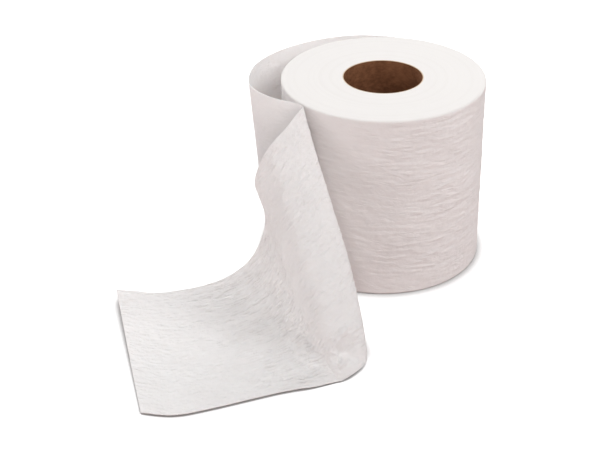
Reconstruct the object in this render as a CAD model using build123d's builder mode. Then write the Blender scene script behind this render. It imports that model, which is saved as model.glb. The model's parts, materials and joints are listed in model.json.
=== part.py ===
"""A toilet paper roll on end, with its outermost turn pulled loose and laid out (mm, +Z up).

The origin is on the roll's axis, on the surface that it stands on. The loose end leaves the
wound turns at the back, bulges round the left side, comes back to the rim at the front left,
turns over in a soft diagonal fold and slides down onto the table.
"""
from build123d import *
import math
import os

# The roll
ROLL_DIAMETER = 109.0
SHEET_WIDTH = 102.0
PAPER_THICKNESS = 0.4
CORE_BORE = 42.0
CORE_WALL = 0.5
CORE_LENGTH = SHEET_WIDTH

# The edges of the turns, as fine rings on both ends
RING_COUNT = 8
RING_DEPTH = 0.3
RING_WIDTH = 0.7
RING_MARGIN = 1.2

# Arcs that the wound turns' outline is made of
SPIRAL_ARCS = 4

# The angle about the axis at which the loose turn leaves the roll, counted from +X, and the
# stretch of wound turn before it that gives its direction there
LEAVING_ANGLE = 80.0
LEAD_ANGLE = 10.0
# The least air between the loose turn and the wound ones, past the place where it leaves
RIM_CLEARANCE = 0.4
# The angle at which the loose turn's top edge comes back to the rim, where the fold begins
RIM_ANGLE = 218.0
# Flat steps that the strip's curve is made of, between two of the lines below
STEPS_PER_SPAN = 3

# Lines across the loose turn, from where it leaves the roll to the rim: the top end's angle
# and its distance from the wound turns, and the same for the foot, which bulges less
TURN = [
    (102, 2.6, 101, 2.9),
    (124, 5.8, 122, 6.9),
    (146, 10.4, 142, 9.6),
    (166, 14.9, 164, 8.6),
    (186, 15.9, 188, 7.7),
    (201, 9.5, 207, 6.6),
    (214, 1.2, 226, 7.8),
]

# Lines across the folded part, from the rim to the strip's end: the top end and the foot, in
# hundredths of the sheet's width from the point below the rim where the fold begins, and how
# far the strip bows out between the two, at most, a third of the way up. All lines are on the
# face that the roll shows, which is the underside where the strip lies on the table
FOLD = [
    ((0.0, -0.4, 99.9), (17.0, -46.0, 0.0), 1.0),
    ((0.7, -1.9, 99.9), (28.6, -72.0, 0.8), 2.5),
    ((0.4, -3.7, 99.8), (30.4, -79.8, 1.7), 3.3),
    ((-1.5, -7.0, 99.3), (28.0, -86.4, 1.7), 3.1),
    ((-7.6, -16.3, 95.3), (22.4, -93.0, 1.4), 2.3),
    ((-17.1, -22.9, 86.1), (18.6, -95.8, 0.7), 1.8),
    ((-23.2, -20.6, 68.0), (17.1, -96.6, 0.6), 2.2),
    ((-19.0, -13.0, 48.5), (15.5, -97.0, 0.5), 3.4),
    ((-20.8, -7.1, 28.2), (12.0, -98.4, 0.6), 4.0),
    ((-30.4, -5.6, 10.2), (3.5, -101.6, 0.8), 2.6),
    ((-48.0, -9.4, 1.2), (-12.5, -106.0, 1.0), 0.2),
    ((-73.0, -16.6, 0.3), (-44.8, -118.0, 1.0), -0.4),
    ((-85.5, -17.9, 1.9), (-60.5, -122.1, 1.0), -0.7),
    ((-97.0, -20.5, 5.0), (-75.7, -119.8, 0.9), -0.8),
]

ROLL_RADIUS = ROLL_DIAMETER / 2
PAPER_BORE_RADIUS = CORE_BORE / 2 + CORE_WALL
LOOSE_RADIUS = ROLL_RADIUS + PAPER_THICKNESS + RIM_CLEARANCE
# The fold's points are given in hundredths of the sheet's width
UNIT = SHEET_WIDTH / 100
# How high a cubic curve rises, as a share of the height of its first control point
BEZIER_PEAK = 4 / 9


def polar(radius, angle, height):
    """A point from its radius and angle about the roll's axis, and its height."""
    turn = math.radians(angle)
    return Vector(radius * math.cos(turn), radius * math.sin(turn), height)


def strip_lines():
    """The lines across the strip in their order, as top ends, bottom ends and bows."""
    tops = []
    feet = []
    bows = []
    for angle in (LEAVING_ANGLE - LEAD_ANGLE, LEAVING_ANGLE):
        tops.append(polar(ROLL_RADIUS, angle, SHEET_WIDTH))
        feet.append(polar(ROLL_RADIUS, angle, 0))
        bows.append(0.0)
    for top_angle, top_gap, foot_angle, foot_gap in TURN:
        tops.append(polar(LOOSE_RADIUS + top_gap, top_angle, SHEET_WIDTH))
        feet.append(polar(LOOSE_RADIUS + foot_gap, foot_angle, 0))
        bows.append(0.0)
    corner = polar(LOOSE_RADIUS, RIM_ANGLE, 0)
    for top, foot, bow in FOLD:
        tops.append(corner + Vector(*top) * UNIT)
        feet.append(corner + Vector(*foot) * UNIT)
        bows.append(bow * UNIT)
    return tops, feet, bows


def smoothed(values):
    """The values with others between them, on a curve that runs through them all."""
    row = []
    last = len(values) - 1
    for i in range(last):
        before = values[max(i - 1, 0)]
        start = values[i]
        end = values[i + 1]
        after = values[min(i + 2, last)]
        for step in range(STEPS_PER_SPAN):
            u = step / STEPS_PER_SPAN
            tangent_in = (end - before) * 0.5
            tangent_out = (after - start) * 0.5
            row.append(
                start * (1 - 3 * u**2 + 2 * u**3)
                + end * (3 * u**2 - 2 * u**3)
                + tangent_in * (u - 2 * u**2 + u**3)
                + tangent_out * (u**3 - u**2)
            )
    row.append(values[last])
    return row


def above_table(points):
    """The points, with those that the curve took below the table laid on it."""
    return [Vector(point.X, point.Y, max(point.Z, 0)) for point in points]


def section_plane(foot, top, travel):
    """The plane of a cross section: x runs up the strip, and y out of its inner face."""
    up = (top - foot).normalized()
    across = (travel - up * travel.dot(up)).normalized()
    return Plane(origin=foot, x_dir=up, z_dir=across * -1)


# The wound turns, with the step where the outermost one leaves them
with BuildPart() as paper:
    with BuildSketch() as outline:
        with BuildLine():
            spiral = []
            for i in range(2 * SPIRAL_ARCS + 1):
                share = i / (2 * SPIRAL_ARCS)
                radius = ROLL_RADIUS - PAPER_THICKNESS * share
                spiral.append(polar(radius, LEAVING_ANGLE - 360 * share, 0))
            for i in range(0, 2 * SPIRAL_ARCS, 2):
                ThreePointArc(spiral[i], spiral[i + 1], spiral[i + 2])
            Line(spiral[-1], spiral[0])
        make_face()
        Circle(PAPER_BORE_RADIUS, mode=Mode.SUBTRACT)
    extrude(amount=SHEET_WIDTH)

    # The rings on both ends
    ring_pitch = (ROLL_RADIUS - PAPER_BORE_RADIUS - 2 * RING_MARGIN) / (RING_COUNT - 1)
    with BuildSketch(Plane.XZ) as ring_profiles:
        for i in range(RING_COUNT):
            middle = PAPER_BORE_RADIUS + RING_MARGIN + i * ring_pitch
            for level, depth in ((0, RING_DEPTH), (SHEET_WIDTH, -RING_DEPTH)):
                with BuildLine():
                    Polyline(
                        (middle - RING_WIDTH / 2, level),
                        (middle + RING_WIDTH / 2, level),
                        (middle, level + depth),
                        close=True,
                    )
                make_face()
    revolve(axis=Axis.Z, mode=Mode.SUBTRACT)

    # The loose turn and its fold: thin bowed sections, each joined to the next. The first
    # one is the step that the outermost turn ends in
    tops, feet, bows = [smoothed(row) for row in strip_lines()]
    tops = above_table(tops)
    feet = above_table(feet)
    sections = []
    for i in range(STEPS_PER_SPAN, len(tops)):
        if i == STEPS_PER_SPAN:
            travel = polar(1, LEAVING_ANGLE + 90, 0)
        else:
            after = min(i + 1, len(tops) - 1)
            travel = tops[after] + feet[after] - tops[i - 1] - feet[i - 1]
        length = (tops[i] - feet[i]).length
        crown = bows[i] / BEZIER_PEAK
        with BuildSketch(section_plane(feet[i], tops[i], travel), mode=Mode.PRIVATE) as section:
            with BuildLine():
                Bezier((0, 0), (length / 3, crown), (length * 2 / 3, 0), (length, 0))
                Line((length, 0), (length, PAPER_THICKNESS))
                Bezier(
                    (length, PAPER_THICKNESS),
                    (length * 2 / 3, PAPER_THICKNESS),
                    (length / 3, crown + PAPER_THICKNESS),
                    (0, PAPER_THICKNESS),
                )
                Line((0, PAPER_THICKNESS), (0, 0))
            make_face()
        sections.append(section.sketch)
    loft(sections=sections, ruled=True)

# The cardboard tube that the paper is wound on
with BuildPart() as core:
    with BuildSketch():
        Circle(PAPER_BORE_RADIUS)
        Circle(CORE_BORE / 2, mode=Mode.SUBTRACT)
    extrude(amount=CORE_LENGTH)

os.makedirs("parts", exist_ok=True)
paper.part.label = "paper"
export_step(paper.part, "parts/paper.step")
core.part.label = "core"
export_step(core.part, "parts/core.step")
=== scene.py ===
"""A toilet paper roll with its loose end laid out: looks, light and camera (metres, +Z up)."""

import json
import logging
import math
import random
from dataclasses import dataclass, field
from enum import Enum

import bmesh
import bpy
from bmesh.types import BMesh
from bpy.types import ID, Material, NodeSocket, NodeTree, Object
from mathutils import Matrix, Vector, noise

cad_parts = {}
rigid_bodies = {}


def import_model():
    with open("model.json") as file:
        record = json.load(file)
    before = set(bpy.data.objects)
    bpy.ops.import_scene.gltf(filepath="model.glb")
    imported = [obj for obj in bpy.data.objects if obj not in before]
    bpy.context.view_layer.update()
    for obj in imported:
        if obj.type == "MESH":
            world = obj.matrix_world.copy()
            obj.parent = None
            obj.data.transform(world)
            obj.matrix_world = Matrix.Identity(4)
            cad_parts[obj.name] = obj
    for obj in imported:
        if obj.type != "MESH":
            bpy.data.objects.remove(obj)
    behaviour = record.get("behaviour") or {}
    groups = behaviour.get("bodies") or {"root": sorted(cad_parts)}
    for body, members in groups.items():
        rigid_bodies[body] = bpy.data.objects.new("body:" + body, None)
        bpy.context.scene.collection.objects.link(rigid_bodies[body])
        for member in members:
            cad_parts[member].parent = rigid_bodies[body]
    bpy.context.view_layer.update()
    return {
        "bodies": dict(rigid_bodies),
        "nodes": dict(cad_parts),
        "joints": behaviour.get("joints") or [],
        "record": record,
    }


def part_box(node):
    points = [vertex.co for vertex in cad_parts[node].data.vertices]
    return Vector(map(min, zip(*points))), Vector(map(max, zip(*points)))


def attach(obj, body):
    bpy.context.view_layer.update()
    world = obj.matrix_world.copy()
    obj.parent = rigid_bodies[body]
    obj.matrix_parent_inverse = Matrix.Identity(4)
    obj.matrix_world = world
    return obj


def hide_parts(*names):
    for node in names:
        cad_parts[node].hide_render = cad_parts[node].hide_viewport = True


log = logging.getLogger("toilet_roll")

MM = 0.001

# A colour as a shader takes it: red, green, blue and alpha
Colour = tuple[float, float, float, float]
# The values at which a soft step is 0 and 1
Edges = tuple[float, float]
# A place or three sizes
Triple = tuple[float, float, float]

# Faces that meet at more than this angle, in degrees, keep a sharp edge between them
SHARP_ANGLE = 48.0
# Vertices that are nearer than this are one
SAME_PLACE = 1e-6
# Brings the curve t(1 - t)^2, which is highest at a third and 4/27 there, to a height of 1
BOW_SCALE = 27 / 4


class Fineness(Enum):
    """How finely a mesh is divided."""

    DRAFT = 0.5
    FULL = 1.0


def fineness() -> Fineness:
    """The fineness that this run is to have."""
    return Fineness.FULL


# Shader building


class Number:
    """A shader number or vector. Python's operators on it add Math nodes."""

    def __init__(self, nodes: "Nodes", socket: NodeSocket) -> None:
        """Wraps the output that holds the number, and keeps the builder that adds its nodes."""
        self.nodes = nodes
        self.socket = socket

    def _math(self, operation: str, *values: "Number | float") -> "Number":
        """The result of one Math node, from its operation and its inputs in their order."""
        inputs = dict(enumerate(values))
        return self.nodes.node("ShaderNodeMath", {"operation": operation}, inputs)

    def __add__(self, other: "Number | float") -> "Number":
        """The sum."""
        return self._math("ADD", self, other)

    def __radd__(self, other: float) -> "Number":
        """The sum, with the plain number first."""
        return self._math("ADD", other, self)

    def __sub__(self, other: "Number | float") -> "Number":
        """The difference."""
        return self._math("SUBTRACT", self, other)

    def __rsub__(self, other: float) -> "Number":
        """The difference, with the plain number first."""
        return self._math("SUBTRACT", other, self)

    def __mul__(self, other: "Number | float") -> "Number":
        """The product."""
        return self._math("MULTIPLY", self, other)

    def __rmul__(self, other: float) -> "Number":
        """The product, with the plain number first."""
        return self._math("MULTIPLY", other, self)

    def __truediv__(self, other: "Number | float") -> "Number":
        """The quotient."""
        return self._math("DIVIDE", self, other)

    def root(self) -> "Number":
        """The square root."""
        return self._math("SQRT", self)

    def fraction(self) -> "Number":
        """What is left over the whole number below it."""
        return self._math("FRACT", self)

    def angle(self, x: "Number") -> "Number":
        """The angle of a point from its y, which this is, and its x."""
        return self._math("ARCTAN2", self, x)

    def fades(self, low: float, high: float) -> "Number":
        """A soft step.

        Args:
            low: The value at which the step is 0.
            high: The value at which the step is 1.

        Returns:
            The step, from 0 to 1.
        """
        settings = {"interpolation_type": "SMOOTHSTEP"}
        inputs = {0: self, 1: low, 2: high, 3: 0.0, 4: 1.0}
        return self.nodes.node("ShaderNodeMapRange", settings, inputs)


class Nodes:
    """Adds nodes to the tree of a material or of the world."""

    def __init__(self, tree: NodeTree) -> None:
        """Takes a tree and empties it."""
        self.tree = tree
        self.tree.nodes.clear()

    def node(
        self,
        kind: str,
        settings: dict[str, object] | None = None,
        inputs: dict[int | str, object] | None = None,
        output: int | str = 0,
    ) -> Number:
        """Adds a node.

        Args:
            kind: The node's type.
            settings: Its properties, set before its sockets.
            inputs: What its sockets hold or are linked to, by number or name.
            output: The output that is wanted.

        Returns:
            That output.
        """
        made = self.tree.nodes.new(kind)
        for key, value in (settings or {}).items():
            setattr(made, key, value)
        for key, value in (inputs or {}).items():
            if isinstance(value, Number):
                self.tree.links.new(value.socket, made.inputs[key])
            else:
                made.inputs[key].default_value = value
        return Number(self, made.outputs[output])

    def seen(self) -> Number:
        """Tells what the camera sees from what only gives light.

        Returns:
            1 where the camera sees a surface directly or in a reflection, and 0 elsewhere.
        """
        direct = self.node("ShaderNodeLightPath", None, None, "Is Camera Ray")
        glossy = self.node("ShaderNodeLightPath", None, None, "Is Glossy Ray")
        through = self.node("ShaderNodeLightPath", None, None, "Is Transmission Ray")
        settings = {"operation": "ADD", "use_clamp": True}
        return self.node("ShaderNodeMath", settings, {0: direct + glossy, 1: through})

    def close(self, surface: Number, output: str) -> None:
        """Links a shader to a new output node of the type that is given."""
        made = self.tree.nodes.new(output)
        self.tree.links.new(surface.socket, made.inputs["Surface"])


class Shader(Nodes):
    """Builds one material out of nodes."""

    def __init__(self, name: str) -> None:
        """Makes the empty material.

        Args:
            name: The material's name.
        """
        self.material = bpy.data.materials.new(name)
        self.material.use_nodes = True
        super().__init__(self.material.node_tree)

    def vector(self, x: "Number | float", y: "Number | float", z: "Number | float" = 0.0) -> Number:
        """A vector of three numbers."""
        return self.node("ShaderNodeCombineXYZ", None, {0: x, 1: y, 2: z})

    def parts(self, vector: Number) -> tuple[Number, Number, Number]:
        """A vector's three numbers."""
        split = self.node("ShaderNodeSeparateXYZ", None, {0: vector}).socket.node
        return tuple(Number(self, split.outputs[i]) for i in range(3))

    def place(self) -> tuple[Number, Number, Number]:
        """A surface point's x, y and z in metres."""
        return self.parts(self.node("ShaderNodeTexCoord", None, None, "Object"))

    def attribute(self, name: str) -> Number:
        """A number that the piece's vertices hold."""
        return self.node("ShaderNodeAttribute", {"attribute_name": name}, None, "Fac")

    def noise(self, where: Number, detail: float = 2.0, roughness: float = 0.5) -> Number:
        """Noise from 0 to 1, a wave to each unit, with some finer layers and their strength."""
        inputs = {"Vector": where, "Scale": 1.0, "Detail": detail, "Roughness": roughness}
        return self.node("ShaderNodeTexNoise", {"noise_dimensions": "3D"}, inputs)

    def mix(self, share: "Number | float", first: object, second: object) -> Number:
        """A colour between two colours, with the second one's share of it from 0 to 1."""
        settings = {"data_type": "RGBA", "clamp_factor": True}
        return self.node("ShaderNodeMix", settings, {0: share, 6: first, 7: second}, 2)

    def bump(self, height: Number) -> Number:
        """A normal for a height in metres above the surface."""
        inputs = {"Strength": 1.0, "Distance": 1.0, "Height": height}
        return self.node("ShaderNodeBump", None, inputs)

    def finish(self, sockets: dict[str, object]) -> Material:
        """The material, closed with one Principled shader whose sockets these are."""
        self.close(self.node("ShaderNodeBsdfPrincipled", None, sockets), "ShaderNodeOutputMaterial")
        return self.material


def shade(level: float, warmth: float = 0.0) -> Colour:
    """A pale colour from how light it is, from 0 to 1, and how much red it has over blue."""
    return (level + warmth / 2, level, level - warmth / 2, 1.0)


# Finishes


@dataclass(frozen=True)
class Grain:
    """A noise pattern of a finish: its wave lengths in metres and the slice it is cut from."""

    along: float
    across: float
    seed: float = 0.0
    detail: float = 2.0
    roughness: float = 0.5

    def on(self, shader: Shader, x: Number, y: Number) -> Number:
        """The pattern on two coordinates, from 0 to 1."""
        where = shader.vector(x / self.along, y / self.across, self.seed)
        return shader.noise(where, self.detail, self.roughness)


@dataclass(frozen=True)
class Tissue:
    """Soft white tissue with fine creases that run along the web. Lengths are in metres."""

    pale: Colour = (0.925, 0.908, 0.90, 1.0)
    dull: Colour = (0.90, 0.88, 0.872, 1.0)
    cloud: Grain = Grain(0.03, 0.018, seed=3.0)
    cloud_edges: Edges = (0.3, 0.7)
    # Painted shade: the darker colour in the hollows between the crimps
    sunk_shade: Colour = (0.66, 0.63, 0.62, 1.0)
    # Creases waver, and are lower outside their patches
    creases: Grain = Grain(0.0055, 0.0011, roughness=0.55)
    crease_height: float = 0.00050
    drift: Grain = Grain(0.018, 0.012, detail=1.0)
    drift_reach: float = 0.006
    patches: Grain = Grain(0.012, 0.009, seed=2.0, detail=1.0)
    patch_edges: Edges = (0.42, 0.62)
    outside_patches: float = 0.35
    pinches: Grain = Grain(0.0038, 0.0019, seed=6.0)
    pinch_height: float = 0.0011
    fibres: Grain = Grain(0.0006, 0.0006, roughness=0.6)
    fibre_height: float = 0.000014
    roughness: float = 0.92
    gloss: float = 0.15
    # How much light goes through, how far, and each colour's share of that reach
    translucence: float = 0.4
    light_reach: float = 0.001
    reach_shares: Triple = (1.0, 0.92, 0.88)

    def material(self, name: str) -> Material:
        """The finish for a piece whose UV map is the flat sheet in metres.

        Args:
            name: The material's name.

        Returns:
            The material.
        """
        shader = Shader(name)
        along, across, _ = shader.parts(shader.node("ShaderNodeUVMap", {"uv_map": "sheet"}))
        creased = shader.attribute("crease")
        # Painted shade: the crimps' hollows get a greyer colour, by a share that the vertices hold
        hollow_shade = shader.attribute("hollow_shade")
        line = across + (self.drift.on(shader, along, across) - 0.5) * self.drift_reach
        creases = self.creases.on(shader, along, line)
        pinches = self.pinches.on(shader, along, line)
        patches = self.patches.on(shader, along, across).fades(*self.patch_edges)
        fibres = self.fibres.on(shader, along, across)
        cloud = self.cloud.on(shader, along, across)
        patched = self.outside_patches + patches * (1.0 - self.outside_patches)
        relief = creases * self.crease_height * patched
        height = relief * creased + pinches * self.pinch_height + fibres * self.fibre_height
        raised = shader.mix(cloud.fades(*self.cloud_edges), self.dull, self.pale)
        return shader.finish(
            {
                # Painted shade in the crimps' hollows
                "Base Color": shader.mix(hollow_shade, raised, self.sunk_shade),
                "Roughness": self.roughness,
                "Specular IOR Level": self.gloss,
                "Subsurface Weight": self.translucence,
                "Subsurface Radius": self.reach_shares,
                "Subsurface Scale": self.light_reach,
                "Normal": shader.bump(height),
            }
        )


# The wound side, where the turns behind it let less light through. Its colours are darker and
# pinker than the loose end's, as painted shade
WOUND_TISSUE = Tissue(
    pale=(0.875, 0.848, 0.838, 1.0),
    dull=(0.85, 0.82, 0.81, 1.0),
    pinch_height=0.00035,
    translucence=0.25,
)
# The single turn that stands free beside the roll, with light on both its faces
STANDING_TISSUE = Tissue(
    pale=(0.915, 0.895, 0.886, 1.0),
    dull=(0.89, 0.866, 0.857, 1.0),
    pinch_height=0.0004,
    translucence=0.75,
    light_reach=0.0018,
)
FOLDED_TISSUE = Tissue()


@dataclass(frozen=True)
class TurnEdges:
    """The cut edges of the wound turns on the roll's ends. Lengths are in metres."""

    level: float = 0.885
    warmth: float = 0.034
    # Gaps between turns are greyer, as painted shade
    gap_shade_level: float = 0.80
    gap_shade_warmth: float = 0.051
    shaded_gap_edges: Edges = (0.34, 0.5)
    gap_shade_strength: float = 0.4
    # Turns waver, and lie in groups of about nine
    pitch: float = 0.0003
    wander: Grain = Grain(0.025, 0.025, detail=1.0)
    wander_reach: float = 0.0004
    group_turns: float = 9.0
    group_seed: float = 4.0
    grain: Grain = Grain(0.0012, 0.0012)
    edge_height: float = 0.00006
    group_height: float = 0.00012
    grain_height: float = 0.00003
    roughness: float = 0.95
    gloss: float = 0.1

    def material(self, name: str) -> Material:
        """The finish for the roll's ends.

        Args:
            name: The material's name.

        Returns:
            The material.
        """
        shader = Shader(name)
        x, y, _ = shader.place()
        radius = (x * x + y * y).root()
        wander = self.wander.on(shader, x, y) - 0.5
        turns = (radius + wander * self.wander_reach) / self.pitch
        edges = shader.noise(shader.vector(turns, 0.0), detail=1.0)
        groups = shader.noise(shader.vector(turns / self.group_turns, self.group_seed))
        grain = self.grain.on(shader, x, y)
        height = edges * self.edge_height + groups * self.group_height + grain * self.grain_height
        # Painted shade: a greyer colour in the gaps between the turns' edges
        shaded_gaps = 1.0 - (edges * 0.5 + groups * 0.5).fades(*self.shaded_gap_edges)
        paper = shade(self.level, self.warmth)
        gap_shade = shade(self.gap_shade_level, self.gap_shade_warmth)
        return shader.finish(
            {
                "Base Color": shader.mix(shaded_gaps * self.gap_shade_strength, paper, gap_shade),
                "Roughness": self.roughness,
                "Specular IOR Level": self.gloss,
                "Normal": shader.bump(height),
            }
        )


@dataclass(frozen=True)
class Kraft:
    """Brown cardboard, wound in a spiral, with a paler cut end. Lengths are in metres."""

    light: Colour = (0.275, 0.122, 0.058, 1.0)
    dark: Colour = (0.14, 0.055, 0.023, 1.0)
    wall_edges: Edges = (0.3, 0.7)
    fibre_size: Triple = (0.003, 0.003, 0.0018)
    fibre_detail: float = 4.0
    fibre_roughness: float = 0.65
    fibre_share: float = 0.6
    fibre_height: float = 0.00004
    blotch_size: float = 0.012
    # The wound strip climbs this much a turn, and its seam takes up this share of that
    strip_rise: float = 0.075
    seam_share: float = 0.02
    seam_strength: float = 0.5
    seam_depth: float = 0.00015
    # Whole turns that keep the count of the strip's turns above zero
    turns_below: float = 10.0
    cut_end: Colour = (0.74, 0.60, 0.45, 1.0)
    cut_reach: Edges = (0.0001, 0.0003)
    roughness: float = 0.85
    gloss: float = 0.25

    def material(self, name: str, length: float) -> Material:
        """The finish for the tube.

        Args:
            name: The material's name.
            length: The tube's length.

        Returns:
            The material.
        """
        shader = Shader(name)
        x, y, z = shader.place()
        climb = z / self.strip_rise + y.angle(x) / (2 * math.pi)
        strip = (climb + self.turns_below).fraction()
        seam = 1.0 - strip.fades(0.0, self.seam_share)
        scaled = [part / size for part, size in zip((x, y, z), self.fibre_size)]
        fibres = shader.noise(shader.vector(*scaled), self.fibre_detail, self.fibre_roughness)
        scaled = [part / self.blotch_size for part in (x, y, z)]
        blotches = shader.noise(shader.vector(*scaled))
        mottle = fibres * self.fibre_share + blotches * (1.0 - self.fibre_share)
        wall = shader.mix(mottle.fades(*self.wall_edges), self.dark, self.light)
        wall = shader.mix(seam * self.seam_strength, wall, self.dark)
        near, far = self.cut_reach
        ends = z.fades(length - far, length - near) + (1.0 - z.fades(near, far))
        return shader.finish(
            {
                "Base Color": shader.mix(ends, wall, self.cut_end),
                "Roughness": self.roughness,
                "Specular IOR Level": self.gloss,
                "Normal": shader.bump(fibres * self.fibre_height - seam * self.seam_depth),
            }
        )


# Creases


def smooth_step(value: float, low: float, high: float) -> float:
    """A soft step from 0 at low to 1 at high."""
    share = min(max((value - low) / (high - low), 0.0), 1.0)
    return share * share * (3 - 2 * share)


def wave(x: float, y: float, seed: float) -> float:
    """Soft noise from -1 to 1, one wave to each unit of the place."""
    return noise.noise(Vector((x, y, seed)))


@dataclass(frozen=True)
class Wave:
    """A wavy pattern on the flat web: its wave lengths in metres, its slice and its weight."""

    along: float
    across: float
    seed: float
    weight: float = 1.0

    def at(self, along: float, across: float, shift: float = 0.0) -> float:
        """The pattern at a place, moved across the web by a shift that is counted in waves."""
        return self.weight * wave(along / self.along, across / self.across + shift, self.seed)


@dataclass(frozen=True)
class Relief:
    """The creases of the outermost turn, as heights in metres on the flat web."""

    # Long ridges along the web, partly rounded and partly sharp, which waver across it
    long_height: float = 0.46 * MM
    ridge_gap: float = 1.8 * MM
    ridge_length: float = 11.0 * MM
    ridge_seed: float = 1.0
    roundness: float = 0.6
    sharpness: float = 0.6
    sharp_length_share: float = 0.7
    sharp_lines_share: float = 0.8
    sharp_seed: float = 13.0
    sharp_middle: float = 0.25
    slow_drift: Wave = Wave(0.030, 0.016, 9.0, weight=0.9)
    quick_drift: Wave = Wave(0.011, 0.008, 4.0, weight=0.5)
    # Short ones in patches
    short_height: float = 0.30 * MM
    short_waves: Wave = Wave(0.0055, 0.0026, 5.0)
    patches: Wave = Wave(0.021, 0.017, 7.0)
    patch_edges: Edges = (-0.25, 0.3)
    # Slow swells of the whole sheet
    broad_height: float = 0.18 * MM
    swells: Wave = Wave(0.042, 0.03, 3.0)
    # Crimps, also in patches
    crimp_height: float = 0.15 * MM
    crimp_gap: float = 2.1 * MM
    crimp_drift: Wave = Wave(0.013, 0.011, 21.0)
    crimp_shake: Wave = Wave(0.005, 0.005, 22.0, weight=0.35)
    crimp_patches: Wave = Wave(0.0055, 0.0042, 23.0)

    def height(self, along: float, across: float) -> float:
        """How far the paper stands out at a place.

        Args:
            along: The place along the web.
            across: The place across it, from its foot.

        Returns:
            The height, up or down.
        """
        drift = self.slow_drift.at(along, across) + self.quick_drift.at(along, across)
        line = across / self.ridge_gap + drift
        rounded = wave(along / self.ridge_length, line, self.ridge_seed)
        stretch = along / (self.sharp_length_share * self.ridge_length)
        sharp = abs(wave(stretch, self.sharp_lines_share * line, self.sharp_seed))
        ridges = self.roundness * rounded - self.sharpness * (sharp - self.sharp_middle)
        patch = smooth_step(self.patches.at(along, across), *self.patch_edges)
        short = self.short_height * patch * self.short_waves.at(along, across, drift)
        return self.long_height * ridges + short + self.broad_height * self.swells.at(along, across)

    def crimps(self, along: float, across: float) -> float:
        """Short even ridges along the web, in patches, where the sheet is gathered.

        Args:
            along: The place along the web.
            across: The place across it.

        Returns:
            Their height, up or down.
        """
        drift = self.crimp_drift.at(along, across) + self.crimp_shake.at(along, across)
        patch = smooth_step(self.crimp_patches.at(along, across), *self.patch_edges)
        return self.crimp_height * patch * math.sin(2 * math.pi * (across / self.crimp_gap + drift))


WOUND_RELIEF = Relief()
# The loose end's ridges are shorter and softer, and its short creases are higher
LOOSE_RELIEF = Relief(
    long_height=0.34 * MM,
    short_height=0.42 * MM,
    broad_height=0.28 * MM,
    ridge_gap=1.5 * MM,
    ridge_length=6.5 * MM,
    sharpness=0.3,
)


# Mesh helpers


def add(name: str, data: ID) -> Object:
    """Adds an object to the scene.

    Args:
        name: Its name.
        data: Its mesh, lamp or camera.

    Returns:
        The object.
    """
    added = bpy.data.objects.new(name, data)
    bpy.context.scene.collection.objects.link(added)
    return added


def piece_from(bm: BMesh, name: str, *materials: Material) -> Object:
    """Turns a finished bmesh into a smooth-shaded piece.

    Args:
        bm: The mesh, which is freed.
        name: The piece's name.
        materials: Its materials, in slot order.

    Returns:
        The piece, linked to the scene.
    """
    mesh = bpy.data.meshes.new(name)
    bm.to_mesh(mesh)
    bm.free()
    mesh.polygons.foreach_set("use_smooth", [True] * len(mesh.polygons))
    mesh.set_sharp_from_angle(angle=math.radians(SHARP_ANGLE))
    for material in materials:
        mesh.materials.append(material)
    return add(name, mesh)


def curve_through(values: list, steps: int) -> list:
    """The values with others between them, on a curve that runs through them all.

    Args:
        values: Vectors or numbers.
        steps: How many parts each span is cut into.

    Returns:
        The longer list.
    """
    row = []
    last = len(values) - 1
    for i in range(last):
        before = values[max(i - 1, 0)]
        start = values[i]
        end = values[i + 1]
        after = values[min(i + 2, last)]
        for step in range(steps):
            u = step / steps
            row.append(
                start * (1 - 3 * u**2 + 2 * u**3)
                + end * (3 * u**2 - 2 * u**3)
                + (end - before) * (0.5 * (u - 2 * u**2 + u**3))
                + (after - start) * (0.5 * (u**3 - u**2))
            )
    row.append(values[last])
    return row


def runs(points: list[Vector]) -> list[float]:
    """How far each point is along the line through them all.

    Args:
        points: The line's points in their order.

    Returns:
        The lengths, of which the first is 0.
    """
    lengths = [0.0]
    for before, point in zip(points, points[1:]):
        lengths.append(lengths[-1] + (point - before).length)
    return lengths


# Pieces


@dataclass(frozen=True)
class RollSizes:
    """The sizes that the roll and its loose end share, in metres and degrees."""

    radius: float = 54.5 * MM
    bore_radius: float = 21.5 * MM
    width: float = 102.0 * MM
    thickness: float = 0.4 * MM
    rim_clearance: float = 0.4 * MM
    leaving_angle: float = 80.0
    rim_angle: float = 218.0

    def polar(self, radius: float, angle: float, height: float) -> Vector:
        """A point from its radius, its angle in degrees and its height."""
        turn = math.radians(angle)
        return Vector((radius * math.cos(turn), radius * math.sin(turn), height))

    def around(self) -> float:
        """The length of the outermost turn."""
        return 2 * math.pi * self.radius

    def loose_radius(self) -> float:
        """The least radius of the loose turn."""
        return self.radius + self.thickness + self.rim_clearance


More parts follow.
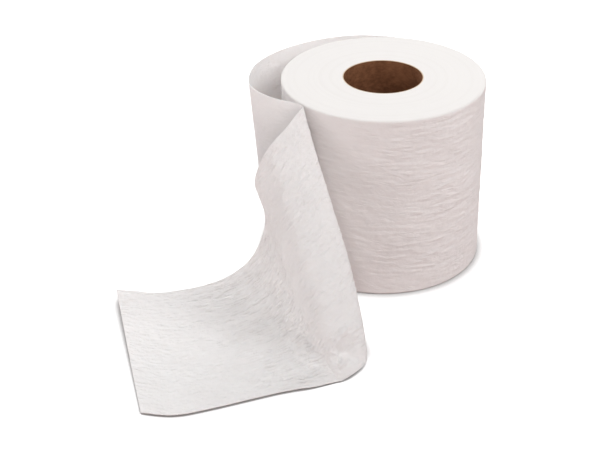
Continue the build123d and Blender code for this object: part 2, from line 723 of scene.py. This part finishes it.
@dataclass
class WoundTurns:
    """The paper that is still wound on the tube."""

    sizes: RollSizes
    relief: Relief
    segments: int = 340
    side_row: float = 0.6 * MM
    end_row: float = 0.9 * MM
    rim_round: float = 1.0 * MM
    rim_steps: int = 3
    # A face whose normal rises more than this is on an end
    end_tilt: float = 0.7
    # How far turns sink below the ends, from one row to the next and in ripples round the roll
    turn_dip: float = 0.10 * MM
    dip_seed: int = 7
    ripple_gap: float = 1.6 * MM
    ripple_turn: float = 3.0
    ripple_seed: float = 2.0
    swells: Wave = Wave(0.02, 0.02, 8.0, weight=0.8)
    ripple_middle: float = 1.2
    # Creases fade out over these lengths beside the step and below the rims
    step_calm: Edges = (0.002, 0.012)
    rim_calm: float = 0.004
    # A place nearer than this share of a segment to the end of the turn is at its start
    closing_share: float = 0.25

    def end_profile(self) -> list[tuple[float, float]]:
        """One end of the section's outline, from the bore to the side.

        Returns:
            The outline's radii, each with its depth below the end.
        """
        sizes = self.sizes
        face = sizes.radius - self.rim_round - sizes.bore_radius
        rows = int(face / self.end_row)
        dips = random.Random(self.dip_seed)
        end = []
        for i in range(rows + 1):
            radius = sizes.bore_radius + face * i / rows
            end.append((radius, self.turn_dip * dips.random() if 0 < i < rows else 0.0))
        for i in range(1, self.rim_steps + 1):
            turn = math.pi / 2 * i / self.rim_steps
            inset = self.rim_round * (1 - math.sin(turn))
            end.append((sizes.radius - inset, self.rim_round * (1 - math.cos(turn))))
        return end

    def profile(self) -> list[tuple[float, float]]:
        """The section's outline, from the bore's foot round to its top.

        Returns:
            The outline's radii and heights.
        """
        sizes = self.sizes
        end = self.end_profile()
        straight = sizes.width - 2 * self.rim_round
        side_rows = int(straight / self.side_row)
        side = []
        for i in range(1, side_rows):
            side.append((sizes.radius, self.rim_round + straight * i / side_rows))
        top = [(radius, sizes.width - dip) for radius, dip in reversed(end)]
        return end + side + top

    def unwound(self, place: Vector) -> float:
        """How far round a place is from where the loose end leaves, clockwise, from 0 to 1."""
        angle = math.degrees(math.atan2(place.y, place.x))
        return ((self.sizes.leaving_angle - angle) % 360) / 360

    def outward(self, radius: float, share: float, height: float) -> float:
        """How far a place moves out by the spiral step and the creases.

        Args:
            radius: Its radius in the spun form.
            share: How far round it is, from 0 to 1.
            height: Its height.

        Returns:
            The move, which is negative inwards.
        """
        sizes = self.sizes
        depth = sizes.radius - radius
        inside = 1 - smooth_step(depth, 0.0, sizes.radius - sizes.bore_radius)
        spiral = -sizes.thickness * share * inside
        outside = 1 - smooth_step(depth, 0.0, 3 * self.rim_round)
        calm = smooth_step(min(share, 1 - share) * sizes.around(), *self.step_calm)
        end = min(height, sizes.width - height)
        relief = self.relief.height(-share * sizes.around(), height) - self.relief.long_height * 0.5
        return spiral + outside * calm * relief * smooth_step(end, 0.0, self.rim_calm)

    def sinks(self, radius: float, share: float, place: Vector) -> float:
        """How far a turn's edge sinks below the end.

        Args:
            radius: Its radius in the spun form.
            share: How far round it is, from 0 to 1.
            place: The place.

        Returns:
            The depth, which is 0 on the side and at the bore.
        """
        sizes = self.sizes
        on_side = sizes.radius - radius <= self.rim_round
        if on_side or radius <= sizes.bore_radius + 0.5 * self.end_row:
            return 0.0
        angle = share * 2 * math.pi
        across = radius / self.ripple_gap + self.ripple_turn * math.cos(angle)
        ripple = wave(across, self.ripple_turn * math.sin(angle), self.ripple_seed)
        ripple += self.swells.at(place.x, place.y)
        return self.turn_dip * 0.5 * (ripple + self.ripple_middle)

    def shape(self, bm: BMesh) -> None:
        """Gives the spun form its spiral step, its creases and its uneven turn edges.

        Args:
            bm: The spun mesh, which is changed.
        """
        middle = self.sizes.width / 2
        for vert in bm.verts:
            radius = math.hypot(vert.co.x, vert.co.y)
            share = self.unwound(vert.co)
            if share > 1 - self.closing_share / self.segments:
                share = 0.0
            scale = (radius + self.outward(radius, share, vert.co.z)) / radius
            dip = self.sinks(radius, share, vert.co)
            vert.co.z += dip if vert.co.z < middle else -dip
            vert.co.x *= scale
            vert.co.y *= scale

    def map_sheet(self, bm: BMesh) -> None:
        """Gives the side its place on the flat web, which the loose end carries on.

        Args:
            bm: The shaped mesh, which is changed.
        """
        layer = bm.loops.layers.uv.new("sheet")
        for face in bm.faces:
            middle = self.unwound(face.calc_center_median())
            for loop in face.loops:
                share = self.unwound(loop.vert.co)
                share += round(middle - share)
                loop[layer].uv = (-share * self.sizes.around(), loop.vert.co.z)

    def build(self, side: Material, ends: Material) -> Object:
        """Makes the piece.

        Args:
            side: The finish of the outermost turn.
            ends: The finish of the turns' edges.

        Returns:
            The piece.
        """
        bm = bmesh.new()
        start = self.sizes.leaving_angle
        verts = [
            bm.verts.new(self.sizes.polar(radius, start, height))
            for radius, height in self.profile()
        ]
        edges = [bm.edges.new((verts[i - 1], verts[i])) for i in range(len(verts))]
        bmesh.ops.spin(
            bm,
            geom=verts + edges,
            cent=(0, 0, 0),
            axis=(0, 0, 1),
            angle=-2 * math.pi,
            steps=int(self.segments * fineness().value),
            use_merge=True,
        )
        bmesh.ops.remove_doubles(bm, verts=bm.verts[:], dist=SAME_PLACE)
        bmesh.ops.recalc_face_normals(bm, faces=bm.faces[:])
        self.shape(bm)
        self.map_sheet(bm)
        crease = bm.verts.layers.float.new("crease")
        for vert in bm.verts:
            vert[crease] = 1.0
        for face in bm.faces:
            face.material_index = 1 if abs(face.normal.z) > self.end_tilt else 0
        return piece_from(bm, "wound_turns", side, ends)


@dataclass(frozen=True)
class Dent:
    """A soft hump in the sheet, or a hollow where it is negative, round a line. All in mm."""

    start: Triple
    end: Triple
    height: float
    reach: float

    def rise(self, place: Vector) -> float:
        """How far the sheet stands out at a place.

        Args:
            place: The place, in metres.

        Returns:
            The height in metres, up or down.
        """
        start = Vector(self.start) * MM
        line = Vector(self.end) * MM - start
        share = min(max((place - start).dot(line) / line.length_squared, 0.0), 1.0)
        away = (place - start - line * share).length / (self.reach * MM)
        return self.height * MM * math.exp(-away * away)


@dataclass
class Course:
    """The lines across the loose end in their order, each with its bow and its creasing."""

    tops: list[Vector]
    feet: list[Vector]
    bows: list[float]
    creasing: list[float]
    top_runs: list[float] = field(init=False)
    foot_runs: list[float] = field(init=False)

    def __post_init__(self) -> None:
        """Measures the sheet along its top edge and along its foot."""
        self.top_runs = runs(self.tops)
        self.foot_runs = runs(self.feet)

    def length(self) -> float:
        """The sheet's length, as the mean of its two edges."""
        return (self.top_runs[-1] + self.foot_runs[-1]) / 2

    def along(self, i: int, t: float) -> float:
        """How far along the sheet a place is, from its line and its share of the way up it."""
        return self.foot_runs[i] * (1 - t) + self.top_runs[i] * t

    def stride(self, i: int, t: float) -> float:
        """How far a place is from the line before.

        Args:
            i: Its line.
            t: Its share of the way up that line.

        Returns:
            The distance.
        """
        before = max(i - 1, 0)
        foot_step = self.foot_runs[i] - self.foot_runs[before]
        top_step = self.top_runs[i] - self.top_runs[before]
        return foot_step * (1 - t) + top_step * t

    def inward(self, i: int) -> Vector:
        """The direction in which a line's inner face looks.

        Args:
            i: The line.

        Returns:
            The direction, of length 1.
        """
        up = (self.tops[i] - self.feet[i]).normalized()
        after = min(i + 1, len(self.tops) - 1)
        before = max(i - 1, 0)
        travel = self.tops[after] + self.feet[after] - self.tops[before] - self.feet[before]
        across = (travel - up * travel.dot(up)).normalized()
        return up.cross(across)


@dataclass
class LooseEnd:
    """The outermost turn, pulled loose, turned over in a soft fold and laid out."""

    sizes: RollSizes
    relief: Relief
    # Lines across the sheet up to the rim: the top end's angle and distance in mm from the wound
    # turns, and the same for the foot
    turn: tuple[tuple[float, float, float, float], ...] = (
        (102, 2.6, 101, 2.9),
        (124, 5.8, 122, 6.9),
        (146, 10.4, 142, 9.6),
        (166, 14.9, 164, 8.6),
        (186, 15.9, 188, 7.7),
        (201, 9.5, 207, 6.6),
        (214, 1.2, 226, 7.8),
    )
    # Lines across the fold: the top end and the foot in hundredths of the sheet's width from the
    # point below the rim where the fold begins, how far the sheet bows out between them, and how
    # creased it is there
    fold: tuple[tuple[Triple, Triple, float, float], ...] = (
        ((0.0, -0.4, 99.9), (17.0, -46.0, 0.0), 1.0, 0.4),
        ((0.7, -1.9, 99.9), (28.6, -72.0, 0.8), 2.5, 0.8),
        ((0.4, -3.7, 99.8), (30.4, -79.8, 1.7), 3.3, 1.2),
        ((-1.5, -7.0, 99.3), (28.0, -86.4, 1.7), 3.1, 1.5),
        ((-7.6, -16.3, 95.3), (22.4, -93.0, 1.4), 2.3, 1.5),
        ((-17.1, -22.9, 86.1), (18.6, -95.8, 0.7), 1.8, 1.4),
        ((-23.2, -20.6, 68.0), (17.1, -96.6, 0.6), 2.2, 1.6),
        ((-19.0, -13.0, 48.5), (15.5, -97.0, 0.5), 3.4, 2.2),
        ((-20.8, -7.1, 28.2), (12.0, -98.4, 0.6), 4.0, 2.7),
        ((-30.4, -5.6, 10.2), (3.5, -101.6, 0.8), 2.6, 2.7),
        ((-48.0, -9.4, 1.2), (-12.5, -106.0, 1.0), 0.2, 1.9),
        ((-73.0, -16.6, 0.3), (-44.8, -118.0, 1.0), -0.4, 0.9),
        ((-85.5, -17.9, 1.9), (-60.5, -122.1, 1.0), -0.7, 0.7),
        ((-97.0, -20.5, 5.0), (-75.7, -119.8, 0.9), -0.8, 0.7),
    )
    # The pocket at the fold's foot, and the ridges round it
    dents: tuple[Dent, ...] = (
        Dent((-27.4, -123.4, 10.4), (-20.6, -121.4, 10.2), -5.6, 5.0),
        Dent((-23.5, -113.0, 19.5), (-20.5, -113.5, 18.0), 1.2, 2.6),
        Dent((-24.8, -116.2, 18.6), (-30.2, -123.3, 11.6), 3.4, 1.6),
        Dent((-16.9, -118.4, 9.1), (-25.5, -127.6, 6.1), 2.0, 1.6),
        Dent((-20.0, -123.6, 7.0), (-26.0, -129.2, 4.4), -0.7, 1.0),
        Dent((-19.5, -124.6, 5.8), (-25.6, -130.0, 3.5), 0.5, 1.0),
    )
    # How creased the wound turns and the turn that stands free are
    wound_crease: float = 1.0
    wall_crease: float = 0.3
    # The stretch of wound turn that gives the sheet its direction where it leaves, in degrees
    lead_angle: float = 10.0
    columns: int = 252
    rows: int = 188
    span_steps: int = 24
    # Where the sheet is calm, columns lie further apart, because a metre counts as this much
    creased_edges: Edges = (0.3, 0.8)
    calm_pace: float = 0.5
    # Creases fade out where columns crowd together, beside the roll and along the edges
    crowded: Edges = (0.02 * MM, 0.2 * MM)
    begin_reach: float = 0.02
    edge_reach: float = 0.006
    edge_share: float = 0.35
    # How creased the sheet is where crimps begin and where they are full, and how much of the
    # greyer colour, as painted shade, their hollows have
    gathered_edges: Edges = (1.3, 2.3)
    hollow_shade_share: float = 0.42
    length: float = field(init=False, default=0.0)

    def lines(self) -> Course:
        """The lines that the tables above give, and two on the roll before them.

        Returns:
            The lines in their order.
        """
        sizes = self.sizes
        unit = sizes.width / 100
        loose = sizes.loose_radius()
        starts = [sizes.leaving_angle - self.lead_angle, sizes.leaving_angle]
        tops = [sizes.polar(sizes.radius, angle, sizes.width) for angle in starts]
        feet = [sizes.polar(sizes.radius, angle, 0) for angle in starts]
        bows = [0.0 for _ in starts]
        creasing = [self.wound_crease for _ in starts]
        for top_angle, top_gap, foot_angle, foot_gap in self.turn:
            tops.append(sizes.polar(loose + top_gap * MM, top_angle, sizes.width))
            feet.append(sizes.polar(loose + foot_gap * MM, foot_angle, 0))
            bows.append(0.0)
            creasing.append(self.wall_crease)
        corner = sizes.polar(loose, sizes.rim_angle, 0)
        for top, foot, bow, creased in self.fold:
            tops.append(corner + Vector(top) * unit)
            feet.append(corner + Vector(foot) * unit)
            bows.append(bow * unit)
            creasing.append(creased)
        return Course(tops, feet, bows, creasing)

    def course(self) -> Course:
        """One line for each column of the mesh, closest where the sheet is most creased.

        Returns:
            The smoothed lines, from where the sheet leaves the roll.
        """
        rough = self.lines()
        values = [
            curve_through(row, self.span_steps)[self.span_steps:]
            for row in (rough.tops, rough.feet, rough.bows, rough.creasing)
        ]
        tops, feet, _, creasing = values
        travelled = [0.0]
        for i in range(1, len(tops)):
            step = max((tops[i] - tops[i - 1]).length, (feet[i] - feet[i - 1]).length)
            creased = smooth_step(creasing[i], *self.creased_edges)
            pace = self.calm_pace + (1 - self.calm_pace) * creased
            travelled.append(travelled[-1] + step * pace)
        columns = int(self.columns * fineness().value)
        even = ([], [], [], [])
        i = 0
        for column in range(columns + 1):
            goal = travelled[-1] * column / columns
            while i < len(travelled) - 2 and travelled[i + 1] < goal:
                i += 1
            share = (goal - travelled[i]) / (travelled[i + 1] - travelled[i])
            for row, smoothed in zip(even, values):
                row.append(smoothed[i] * (1 - share) + smoothed[i + 1] * share)
        return Course(*even)

    def build(self, finish: Material, sheer: Material) -> Object:
        """Makes the piece.

        Args:
            finish: The folded part's material.
            sheer: The material of the part that stands free beside the roll.

        Returns:
            The piece.
        """
        course = self.course()
        self.length = course.length()
        columns = len(course.tops) - 1
        rows = int(self.rows * fineness().value)
        bm = bmesh.new()
        bmesh.ops.create_grid(bm, x_segments=columns, y_segments=rows, size=0.5)
        rim = self.rim_column(course)
        for face in bm.faces:
            column = (face.calc_center_median().x + 0.5) * columns
            face.material_index = 1 if column < rim else 0
        self.lay(bm, course)
        self.thicken(bm)
        return piece_from(bm, "loose_end", finish, sheer)

    def lay(self, bm: BMesh, course: Course) -> None:
        """Lays a flat grid along its course, creased, with its flat places kept.

        Args:
            bm: The grid, from -0.5 to 0.5 along x and y, which is changed.
            course: A line for each of its columns.
        """
        sheet = bm.loops.layers.uv.new("sheet")
        crease = bm.verts.layers.float.new("crease")
        hollow_shade = bm.verts.layers.float.new("hollow_shade")
        columns = len(course.tops) - 1
        inward = [course.inward(i) for i in range(columns + 1)]
        flat = {}
        for vert in bm.verts:
            i = round((vert.co.x + 0.5) * columns)
            t = vert.co.y + 0.5
            flat[vert] = (course.along(i, t), t * self.sizes.width)
            vert[crease] = course.creasing[i] * smooth_step(course.stride(i, t), *self.crowded)
            # Painted shade for the crimps' hollows
            vert[hollow_shade] = self.hollow_shade(flat[vert], vert[crease])
            bow = course.bows[i] * self.bow_share(t)
            vert.co = course.feet[i].lerp(course.tops[i], t) + inward[i] * bow
            vert.co += inward[i] * self.rise(vert.co, flat[vert], vert[crease])
            vert.co.z = max(vert.co.z, 0.0)
        for face in bm.faces:
            for loop in face.loops:
                loop[sheet].uv = flat[loop.vert]

    def thicken(self, bm: BMesh) -> None:
        """Gives the sheet its thickness, inwards from its outer face.

        Args:
            bm: The laid sheet, which is changed.
        """
        bm.normal_update()
        if not self.faces_out(bm):
            bmesh.ops.reverse_faces(bm, faces=bm.faces[:])
        bmesh.ops.solidify(bm, geom=bm.faces[:], thickness=self.sizes.thickness)
        bmesh.ops.recalc_face_normals(bm, faces=bm.faces[:])

    def rim_column(self, course: Course) -> int:
        """The column at which the sheet comes back to the rim and the fold begins."""
        corner = self.sizes.polar(self.sizes.loose_radius(), self.sizes.rim_angle, self.sizes.width)
        return min(range(len(course.tops)), key=lambda i: (course.tops[i] - corner).length)

    def bow_share(self, t: float) -> float:
        """How much of its bow a line has at a share of its height, which is all at a third."""
        return BOW_SCALE * t * (1 - t) ** 2

    def rise(self, place: Vector, flat: tuple[float, float], creased: float) -> float:
        """How far the sheet stands out towards its inner face.

        Args:
            place: The place on the smooth sheet.
            flat: The same place on the flat sheet.
            creased: How creased the sheet is there.

        Returns:
            The height in metres.
        """
        along, across = flat
        begun = smooth_step(along, 0.0, self.begin_reach)
        edge = smooth_step(min(across, self.sizes.width - across), 0.0, self.edge_reach)
        fixed = self.edge_share + (1 - self.edge_share) * edge
        dents = sum(dent.rise(place) for dent in self.dents)
        creases = creased * self.relief.height(along, across)
        crimps = creased * self.gathered(creased) * self.relief.crimps(along, across)
        return begun * (fixed * (creases + crimps) + dents)

    def gathered(self, creased: float) -> float:
        """How far a place is gathered into crimps, from 0 to 1, by how creased it is."""
        return smooth_step(creased, *self.gathered_edges)

    def hollow_shade(self, flat: tuple[float, float], creased: float) -> float:
        """How much painted shade, as a greyer colour, a flat place has, which is none outside a
        hollow.
        """
        sunk_shade = -self.relief.crimps(*flat) * self.gathered(creased)
        return min(max(sunk_shade / self.relief.crimp_height, 0.0), 1.0) * self.hollow_shade_share

    def faces_out(self, bm: BMesh) -> bool:
        """Finds which way the sheet's faces point.

        Args:
            bm: The laid sheet.

        Returns:
            Whether the first face, which is beside the roll, points away from the axis.
        """
        bm.faces.ensure_lookup_table()
        face = bm.faces[0]
        middle = face.calc_center_median()
        return face.normal.dot(Vector((middle.x, middle.y, 0))) > 0


@dataclass
class Tube:
    """The cardboard tube, which keeps its own solid and gets a finish."""

    node: str = "core"

    def dress(self, frame: dict) -> None:
        """Gives the node its material.

        Args:
            frame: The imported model.
        """
        low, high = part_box(self.node)
        finish = Kraft().material("kraft_board", high[2] - low[2])
        piece = frame["nodes"][self.node]
        for slot in piece.material_slots:
            slot.material = finish
        log.info("dressed %s", self.node)


# Studio


@dataclass(frozen=True)
class Camera:
    """The camera as the photograph was taken: metres, radians, and millimetres for the lens."""

    place: Triple = (-0.043771, -0.7073, 0.422264)
    look_down: float = 0.527
    roll: float = -0.011
    lens: float = 87.0
    sensor: float = 36.0
    nearest: float = 0.01
    farthest: float = 50.0

    def build(self) -> None:
        """Adds the camera and makes it the scene's."""
        data = bpy.data.cameras.new("camera")
        data.lens = self.lens
        data.sensor_width = self.sensor
        data.clip_start = self.nearest
        data.clip_end = self.farthest
        camera = add("camera", data)
        tilt = Matrix.Rotation(math.pi / 2 - self.look_down, 4, "X")
        turn = tilt @ Matrix.Rotation(self.roll, 4, "Z")
        camera.matrix_world = Matrix.Translation(self.place) @ turn
        bpy.context.scene.camera = camera


@dataclass(frozen=True)
class Lamp:
    """A soft square lamp that points at the roll: metres and watts."""

    name: str
    place: Triple
    power: float
    size: float
    colour: Triple = (1.0, 1.0, 1.0)
    aim: Triple = (-0.03, -0.04, 0.04)

    def build(self) -> None:
        """Adds the lamp."""
        data = bpy.data.lights.new(self.name, "AREA")
        data.energy = self.power
        data.size = self.size
        data.color = self.colour
        place = Vector(self.place)
        turn = (Vector(self.aim) - place).to_track_quat("-Z", "Y")
        add(self.name, data).matrix_world = Matrix.Translation(place) @ turn.to_matrix().to_4x4()


@dataclass(frozen=True)
class Studio:
    """A pale floor, a white background and soft light."""

    sky: float = 0.03
    sky_colour: Colour = (1.0, 0.92, 0.91, 1.0)
    lamps: tuple[Lamp, ...] = (
        Lamp("over_right", (0.9, -0.3, 1.0), 7.4, 0.7),
        Lamp("over", (0.1, -0.2, 1.5), 1.9, 0.8),
        Lamp("right", (1.5, 0.1, 0.7), 1.8, 1.0),
        Lamp("front", (0.0, -1.45, 0.95), 7.4, 0.8, (1.0, 0.955, 0.945)),
        Lamp("front_low", (0.1, -1.6, 0.5), 2.8, 0.9, (1.0, 0.955, 0.945)),
        Lamp("front_left", (-1.1, -1.2, 0.8), 2.0, 1.0, (1.0, 0.95, 0.94)),
        Lamp("left_low", (-1.5, -0.4, 0.4), 6.0, 0.7, (1.0, 0.96, 0.95)),
        Lamp("back_left", (-0.9, 1.1, 0.8), 9.2, 0.7),
        Lamp("back", (0.2, 1.5, 0.9), 15.6, 1.0),
    )
    floor_size: float = 12.0
    # The floor as the object's light falls back from it, and then as the camera sees it
    floor_colour: Colour = (0.62, 0.52, 0.51, 1.0)
    floor_shade: float = 0.5
    floor_glow: float = 0.95
    # How near to the object the glow fades, and how open the floor is where it starts and ends
    contact_reach: float = 0.012
    contact_edges: Edges = (0.4, 0.95)
    contact_samples: int = 16

    def build(self) -> None:
        """Adds the floor, the world and the lamps."""
        self.floor()
        self.world()
        for lamp in self.lamps:
            lamp.build()

    def floor(self) -> None:
        """Adds the floor."""
        bm = bmesh.new()
        bmesh.ops.create_grid(bm, x_segments=1, y_segments=1, size=self.floor_size / 2)
        floor = piece_from(bm, "floor", self.floor_material())

    def floor_material(self) -> Material:
        """The floor's finish, which shows white to the camera and keeps the object's shadow.

        Returns:
            The material.
        """
        shader = Shader("pale_floor")
        settings = {"samples": self.contact_samples}
        reach = {"Distance": self.contact_reach}
        open_air = shader.node("ShaderNodeAmbientOcclusion", settings, reach, "AO")
        plain = shader.node("ShaderNodeBsdfDiffuse", None, {"Color": self.floor_colour})
        lit = shader.node("ShaderNodeBsdfDiffuse", None, {"Color": shade(self.floor_shade)})
        strength = open_air.fades(*self.contact_edges) * self.floor_glow
        light = {"Color": shade(1.0), "Strength": strength}
        glow = shader.node("ShaderNodeEmission", None, light)
        white = shader.node("ShaderNodeAddShader", None, {0: lit, 1: glow})
        mixed = shader.node("ShaderNodeMixShader", None, {0: shader.seen(), 1: plain, 2: white})
        shader.close(mixed, "ShaderNodeOutputMaterial")
        return shader.material

    def world(self) -> None:
        """Adds the sky, white to the camera and softer as a light."""
        world = bpy.data.worlds.new("studio")
        world.use_nodes = True
        nodes = Nodes(world.node_tree)
        dim = {"Color": self.sky_colour, "Strength": self.sky}
        light = nodes.node("ShaderNodeBackground", None, dim)
        white = nodes.node("ShaderNodeBackground", None, {"Color": shade(1.0)})
        mixed = nodes.node("ShaderNodeMixShader", None, {0: nodes.seen(), 1: light, 2: white})
        nodes.close(mixed, "ShaderNodeOutputWorld")
        bpy.context.scene.world = world


def main() -> None:
    """Builds the object, the studio and the camera."""
    logging.basicConfig(level=logging.INFO, format="%(name)s: %(message)s")
    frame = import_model()
    Camera().build()

    sizes = RollSizes()
    packed = WOUND_TISSUE.material("tissue_wound")
    turns = WoundTurns(sizes, WOUND_RELIEF).build(packed, TurnEdges().material("turn_edges"))
    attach(turns, "root")
    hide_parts("paper")
    log.info("built %s: %d faces", turns.name, len(turns.data.polygons))

    loose = LooseEnd(sizes, LOOSE_RELIEF)
    sheer = STANDING_TISSUE.material("tissue_sheer")
    sheet = loose.build(FOLDED_TISSUE.material("tissue"), sheer)
    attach(sheet, "root")
    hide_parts("paper")
    log.info("built %s: %d faces, %.3f m long", sheet.name, len(sheet.data.polygons), loose.length)

    Tube().dress(frame)
    Studio().build()
    bpy.context.scene.view_settings.view_transform = "Standard"


if __name__ == "__main__":
    main()
